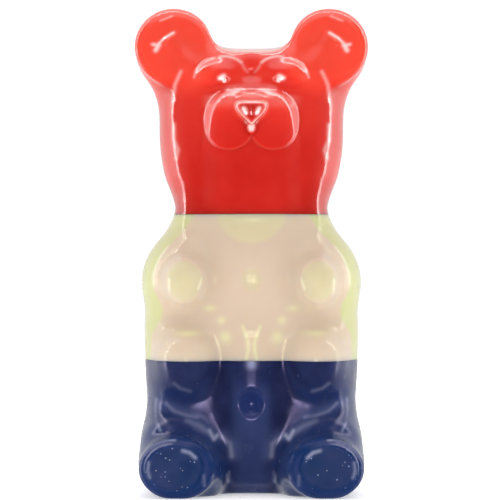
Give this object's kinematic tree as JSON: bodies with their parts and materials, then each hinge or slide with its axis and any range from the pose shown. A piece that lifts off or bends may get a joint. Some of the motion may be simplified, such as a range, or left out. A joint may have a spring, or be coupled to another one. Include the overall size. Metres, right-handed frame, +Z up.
{
  "type": "gummy bear",
  "caption": "Giant moulded gummy bear sweet that stands upright on a flat base, cast in level layers of coloured fruit gel, with round ears, snout, paws and feet.",
  "frame": {"origin": "centre of the underside of the bear's bounding box, on the surface it stands on", "axes": "+Z up along the bear's height; the bear faces -Y; +X towards the bear's left"},
  "size_m": [0.1102, 0.1039, 0.2289],
  "materials": {
    "red_gel": "glossy translucent gelatine gel, clear red",
    "yellow_gel": "glossy milky translucent gelatine gel, pale yellow",
    "blue_gel": "glossy translucent gelatine gel, deep blue"
  },
  "bodies": {
    "root": {"red_gel_head": "red_gel", "yellow_gel_body": "yellow_gel", "blue_gel_base": "blue_gel"}
  },
  "joints": []
}
